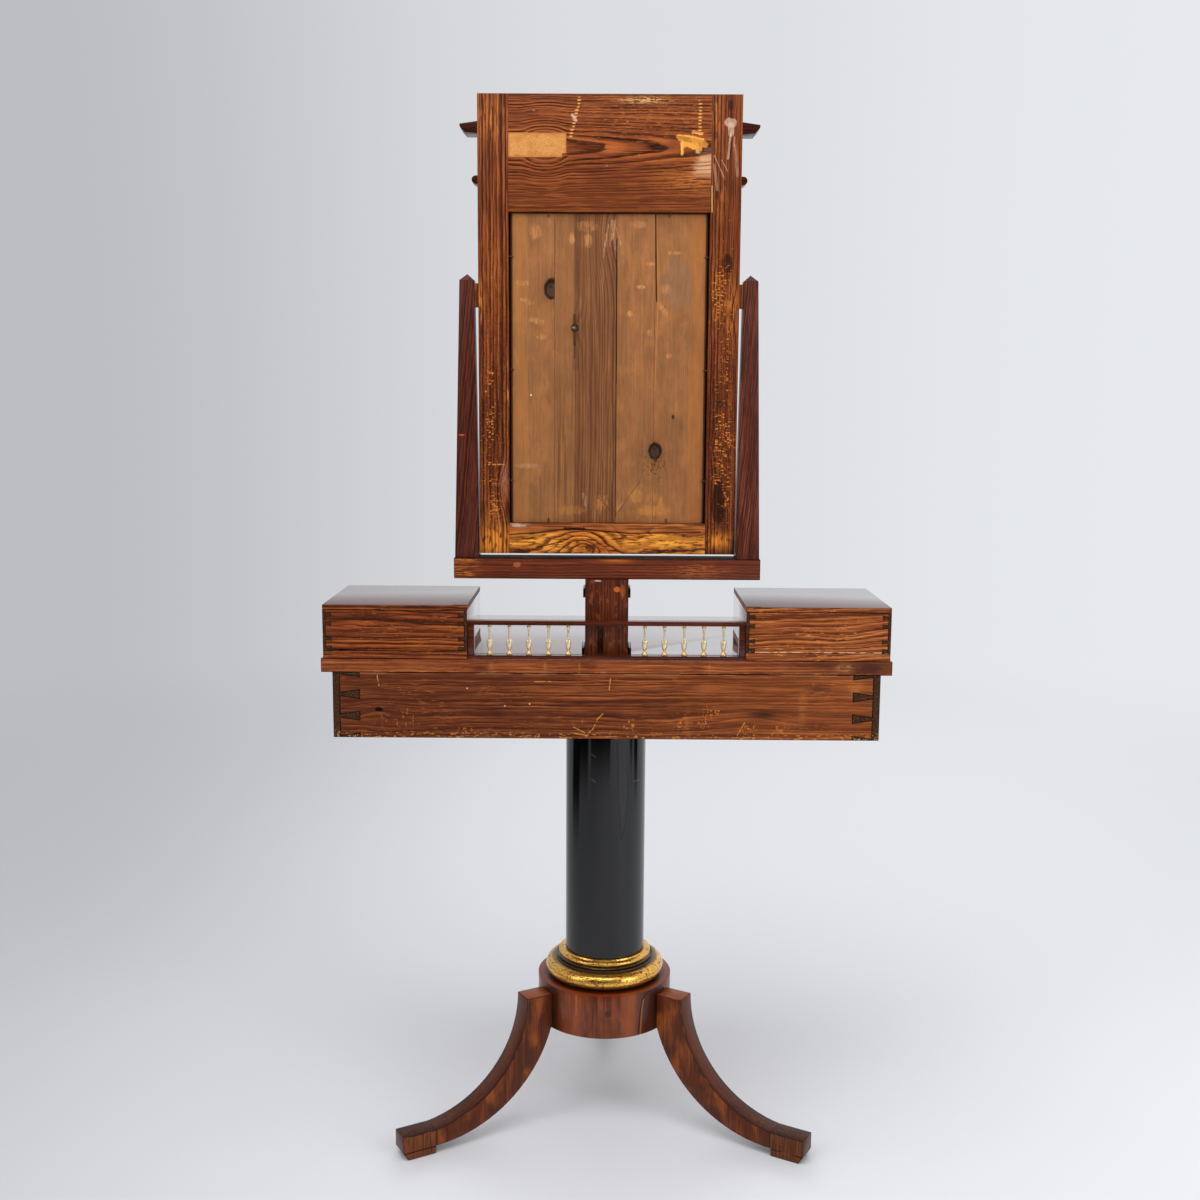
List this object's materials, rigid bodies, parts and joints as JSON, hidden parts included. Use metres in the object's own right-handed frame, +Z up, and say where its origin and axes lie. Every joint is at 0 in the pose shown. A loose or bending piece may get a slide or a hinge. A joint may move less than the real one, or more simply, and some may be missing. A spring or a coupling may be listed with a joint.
{
  "type": "dressing table",
  "caption": "Dressing table on a round column with sabre legs: a shallow drawer case, small drawer boxes, a brass gallery and a tall swing mirror between tapered uprights.",
  "frame": {"origin": "on the floor, under the middle of the bounding box", "axes": "+X to the right of a person sitting at the table, +Y to the back, +Z up"},
  "size_m": [0.804, 0.552, 1.536],
  "materials": {
    "cherry": "polished red-brown wood",
    "gilding": "worn gilding",
    "ebonised": "black polish",
    "stained_pine": "red-brown stained softwood, waxed",
    "veneer": "French polished veneer",
    "bare_pine": "old bare softwood",
    "brass": "cast and lacquered brass",
    "steel": "old iron",
    "mirror_glass": "silvered glass",
    "paper": "old brown paper"
  },
  "bodies": {
    "table": {"foot_pads": "cherry", "leg_front": "cherry", "leg_back_left": "cherry", "leg_back_right": "cherry", "leg_drum": "cherry", "gilt_base": "gilding", "column": "ebonised", "head_plate": "stained_pine", "head_plate_screws": "steel", "case_back": "stained_pine", "case_left_side": "cherry", "case_right_side": "cherry", "case_bottom": "stained_pine", "table_top": "veneer", "left_box_bottom": "cherry", "left_box_sides": "veneer", "left_box_back": "stained_pine", "left_box_top": "veneer", "right_box_bottom": "cherry", "right_box_sides": "veneer", "right_box_back": "stained_pine", "right_box_top": "veneer", "gallery_base_rail": "veneer", "gallery_top_rail": "veneer", "gallery_end_posts": "veneer", "gallery_balusters": "brass", "mirror_post": "cherry", "post_plinth": "ebonised", "post_neck_band": "ebonised", "crossbar": "cherry", "left_upright": "cherry", "right_upright": "cherry", "pivot_spacers": "bare_pine"},
    "mirror": {"mirror_left_stile": "stained_pine", "mirror_right_stile": "stained_pine", "mirror_top_rail": "stained_pine", "mirror_bottom_rail": "stained_pine", "mirror_back_panel": "bare_pine", "mirror_glass": "mirror_glass", "mirror_cornice": "cherry", "mirror_astragal": "cherry", "pivot_pins": "steel", "back_panel_brads": "steel", "paper_label": "paper"},
    "large_drawer": {"drawer_front": "veneer", "drawer_left_side": "bare_pine", "drawer_right_side": "bare_pine", "drawer_back": "bare_pine", "drawer_bottom": "bare_pine", "drawer_knobs": "brass"},
    "left_drawer": {"left_box_drawer_front": "veneer", "left_box_drawer_sides": "bare_pine", "left_box_drawer_back": "bare_pine", "left_box_drawer_bottom": "bare_pine", "left_box_knob": "brass"},
    "right_drawer": {"right_box_drawer_front": "veneer", "right_box_drawer_sides": "bare_pine", "right_box_drawer_back": "bare_pine", "right_box_drawer_bottom": "bare_pine", "right_box_knob": "brass"}
  },
  "joints": [
    {"name": "mirror_tilt", "type": "hinge", "parent": "table", "child": "mirror", "pos_m": [0, 0.2285, 1.269], "axis": [1, 0, 0], "range_deg": [-60, 60]},
    {"name": "large_drawer_slide", "type": "slide", "parent": "table", "child": "large_drawer", "axis": [0, -1, 0], "range_m": [0, 0.25]},
    {"name": "left_drawer_slide", "type": "slide", "parent": "table", "child": "left_drawer", "axis": [0, -1, 0], "range_m": [0, 0.13]},
    {"name": "right_drawer_slide", "type": "slide", "parent": "table", "child": "right_drawer", "axis": [0, -1, 0], "range_m": [0, 0.13]}
  ]
}
